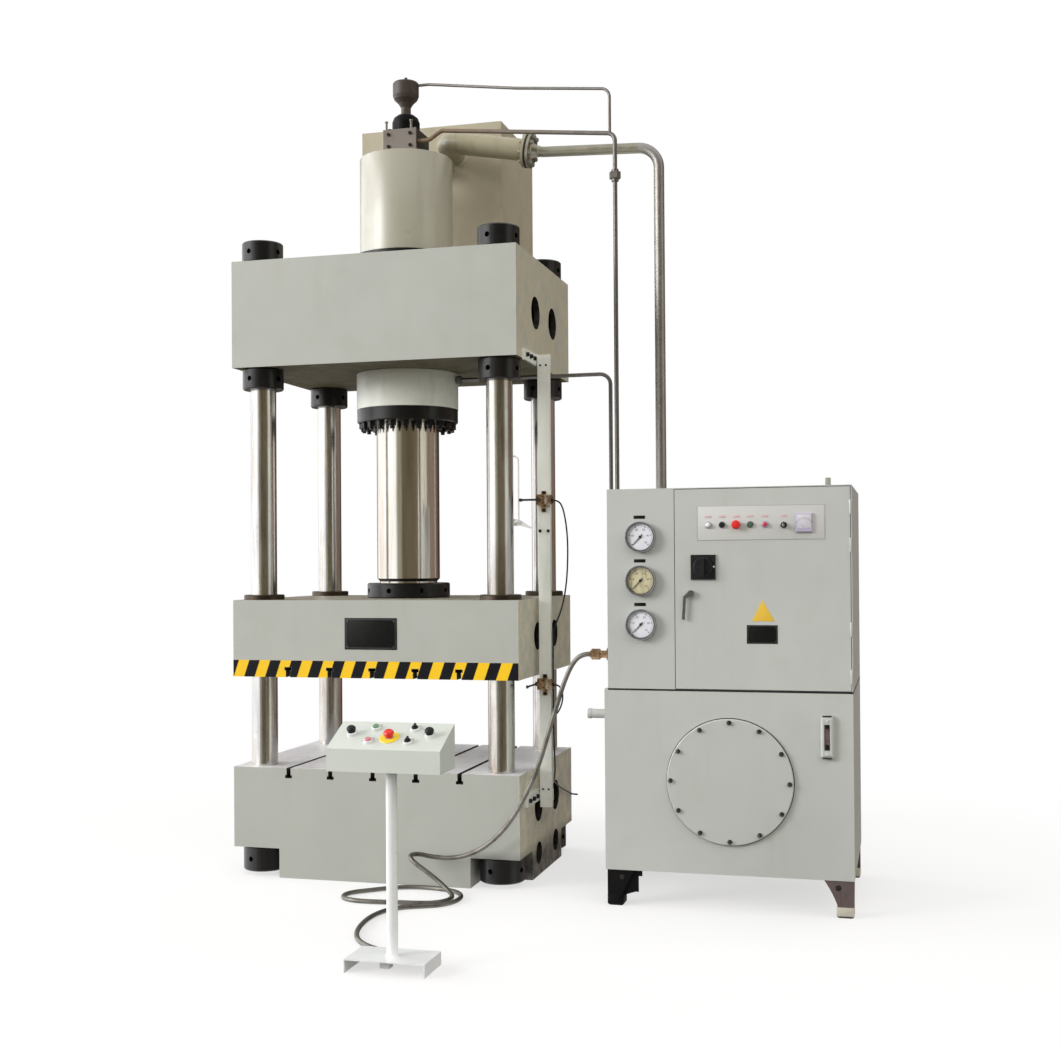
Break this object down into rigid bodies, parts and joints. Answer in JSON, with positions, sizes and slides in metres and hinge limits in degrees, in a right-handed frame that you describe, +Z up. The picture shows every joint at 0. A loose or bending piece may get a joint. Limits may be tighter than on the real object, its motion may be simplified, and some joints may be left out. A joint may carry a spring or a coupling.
{
  "type": "hydraulic press",
  "caption": "Four-column hydraulic press with a downstroke main cylinder, T-slotted table and slide, rear fill tank, side power cabinet and separate push-button stand.",
  "frame": {"origin": "on the floor under the ram's axis", "axes": "+X towards the power cabinet, -Y towards the operator, +Z up along the ram"},
  "size_m": [3.068, 3.036, 4.153],
  "materials": {
    "body_paint": "semi-gloss grey-green enamel, lightly soiled",
    "cabinet_paint": "satin grey enamel",
    "stand_paint": "satin pale enamel",
    "block_paint": "satin grey enamel, oily",
    "bowl_paint": "dark cast surface",
    "polished_steel": "ground and polished",
    "chrome": "hard chrome",
    "black_oxide": "blackened, oily",
    "black_paint": "black enamel, chipped",
    "pipe_steel": "drawn steel, slightly rusty",
    "bronze": "oily bronze",
    "brass": "dull brass",
    "packing": "fabric-reinforced seal",
    "lead_sheath": "black sheath",
    "conduit_metal": "wound steel conduit",
    "gauge_case": "chromed rim",
    "pointer": "black",
    "black_plastic": "black moulding",
    "red_plastic": "red moulding",
    "green_plastic": "green moulding",
    "pink_plastic": "faded red moulding",
    "lilac_plastic": "lilac-grey moulding",
    "motor_paint": "grey-blue enamel on iron",
    "plated_steel": "zinc plated"
  },
  "bodies": {
    "press_frame": {"bed": "body_paint", "columns": "polished_steel", "crown": "body_paint", "crown_nuts": "black_oxide", "foot_nuts": "black_oxide", "main_cylinder": "body_paint", "cylinder_ring": "black_oxide", "gland_ring": "black_oxide", "gland_bolts": "black_oxide", "gland_packing": "packing", "head_block": "block_paint", "pilot_valve": "bowl_paint", "fill_tank": "body_paint", "fill_pipe": "body_paint", "main_pipe": "pipe_steel", "pressure_pipe": "pipe_steel", "pilot_pipe": "pipe_steel", "return_pipe": "pipe_steel", "switch_rail": "body_paint", "limit_switches": "brass", "upper_lead": "lead_sheath", "lower_lead": "lead_sheath", "oil_tank": "cabinet_paint", "tank_legs": "black_paint", "manhole_cover": "cabinet_paint", "cover_bolts": "plated_steel", "level_gauge": "cabinet_paint", "cabinet_shell": "cabinet_paint", "pressure_gauges": "gauge_case", "pump_motor": "motor_paint", "pump": "motor_paint", "cable_gland": "brass", "console_stand": "stand_paint", "console_box": "stand_paint", "console_conduit": "conduit_metal"},
    "moving_slide": {"slide": "body_paint", "guide_bushes": "bronze", "ram": "chrome", "ram_ring": "black_oxide", "striker": "plated_steel"},
    "door": {"cabinet_door": "cabinet_paint", "panel_instruments": "lilac_plastic"},
    "door_handle_body": {"door_handle": "plated_steel"},
    "main_switch_body": {"main_switch": "black_plastic"},
    "black_button_body": {"black_button": "black_plastic"},
    "stop_mushroom_body": {"stop_mushroom": "red_plastic"},
    "green_button_body": {"green_button": "green_plastic"},
    "key_selector_body": {"key_selector": "black_plastic"},
    "palm_left_body": {"palm_left": "black_plastic"},
    "palm_right_body": {"palm_right": "black_plastic"},
    "console_stop_body": {"console_stop": "red_plastic"},
    "console_green_body": {"console_green": "green_plastic"},
    "console_red_body": {"console_red": "pink_plastic"},
    "console_selector_a_body": {"console_selector_a": "black_plastic"},
    "console_selector_b_body": {"console_selector_b": "black_plastic"},
    "pointer_top_body": {"pointer_top": "pointer"},
    "pointer_middle_body": {"pointer_middle": "pointer"},
    "pointer_bottom_body": {"pointer_bottom": "pointer"},
    "upper_lever_body": {"upper_lever": "brass"},
    "lower_lever_body": {"lower_lever": "brass"}
  },
  "joints": [
    {"name": "slide_travel", "type": "slide", "parent": "press_frame", "child": "moving_slide", "axis": [0, 0, 1], "range_m": [-0.4, 0.45]},
    {"name": "door_hinge", "type": "hinge", "parent": "press_frame", "child": "door", "pos_m": [2.3125, -0.7, 1.45], "axis": [0, 0, 1], "range_deg": [0, 110]},
    {"name": "handle_turn", "type": "hinge", "parent": "door", "child": "door_handle_body", "pos_m": [1.607, -0.7, 1.427], "axis": [0, -1, 0], "range_deg": [0, 90]},
    {"name": "main_switch_turn", "type": "hinge", "parent": "door", "child": "main_switch_body", "pos_m": [1.664, -0.7, 1.546], "axis": [0, -1, 0], "range_deg": [0, 90]},
    {"name": "key_turn", "type": "hinge", "parent": "door", "child": "key_selector_body", "pos_m": [2.024, -0.7, 1.731], "axis": [0, -1, 0], "range_deg": [-45, 45]},
    {"name": "black_button_press", "type": "slide", "parent": "door", "child": "black_button_body", "axis": [0, 1, 0], "range_m": [0, 0.004], "stiffness_N_per_m": 600},
    {"name": "green_button_press", "type": "slide", "parent": "door", "child": "green_button_body", "axis": [0, 1, 0], "range_m": [0, 0.004], "stiffness_N_per_m": 600},
    {"name": "stop_mushroom_press", "type": "slide", "parent": "door", "child": "stop_mushroom_body", "axis": [0, 1, 0], "range_m": [0, 0.004]},
    {"name": "palm_left_press", "type": "slide", "parent": "press_frame", "child": "palm_left_body", "axis": [0, 0.427, -0.9042], "range_m": [0, 0.005], "stiffness_N_per_m": 900},
    {"name": "palm_right_press", "type": "slide", "parent": "press_frame", "child": "palm_right_body", "axis": [0, 0.427, -0.9042], "range_m": [0, 0.005], "stiffness_N_per_m": 900},
    {"name": "console_stop_press", "type": "slide", "parent": "press_frame", "child": "console_stop_body", "axis": [0, 0.427, -0.9042], "range_m": [0, 0.004]},
    {"name": "console_green_press", "type": "slide", "parent": "press_frame", "child": "console_green_body", "axis": [0, 0.427, -0.9042], "range_m": [0, 0.004], "stiffness_N_per_m": 600},
    {"name": "console_red_press", "type": "slide", "parent": "press_frame", "child": "console_red_body", "axis": [0, 0.427, -0.9042], "range_m": [0, 0.004], "stiffness_N_per_m": 600},
    {"name": "console_selector_a_turn", "type": "hinge", "parent": "press_frame", "child": "console_selector_a_body", "pos_m": [0.697, -1.84217, 0.9232], "axis": [0, -0.427, 0.9042], "range_deg": [-45, 45]},
    {"name": "console_selector_b_turn", "type": "hinge", "parent": "press_frame", "child": "console_selector_b_body", "pos_m": [0.697, -1.92717, 0.88306], "axis": [0, -0.427, 0.9042], "range_deg": [-45, 45]},
    {"name": "pointer_top_sweep", "type": "hinge", "parent": "press_frame", "child": "pointer_top_body", "pos_m": [1.38, -0.72, 1.685], "axis": [0, 1, 0], "range_deg": [0, 270], "stiffness_Nm_per_rad": 0.02},
    {"name": "pointer_middle_sweep", "type": "hinge", "parent": "press_frame", "child": "pointer_middle_body", "pos_m": [1.38, -0.72, 1.486], "axis": [0, 1, 0], "range_deg": [0, 270], "stiffness_Nm_per_rad": 0.02},
    {"name": "pointer_bottom_sweep", "type": "hinge", "parent": "press_frame", "child": "pointer_bottom_body", "pos_m": [1.38, -0.72, 1.287], "axis": [0, 1, 0], "range_deg": [0, 270], "stiffness_Nm_per_rad": 0.02},
    {"name": "upper_lever_trip", "type": "hinge", "parent": "press_frame", "child": "upper_lever_body", "pos_m": [0.784, -0.28, 1.884], "axis": [0, 1, 0], "range_deg": [-20, 20], "stiffness_Nm_per_rad": 6},
    {"name": "lower_lever_trip", "type": "hinge", "parent": "press_frame", "child": "lower_lever_body", "pos_m": [0.766, -0.262, 0.968], "axis": [1, 0, 0], "range_deg": [-20, 20], "stiffness_Nm_per_rad": 6}
  ]
}
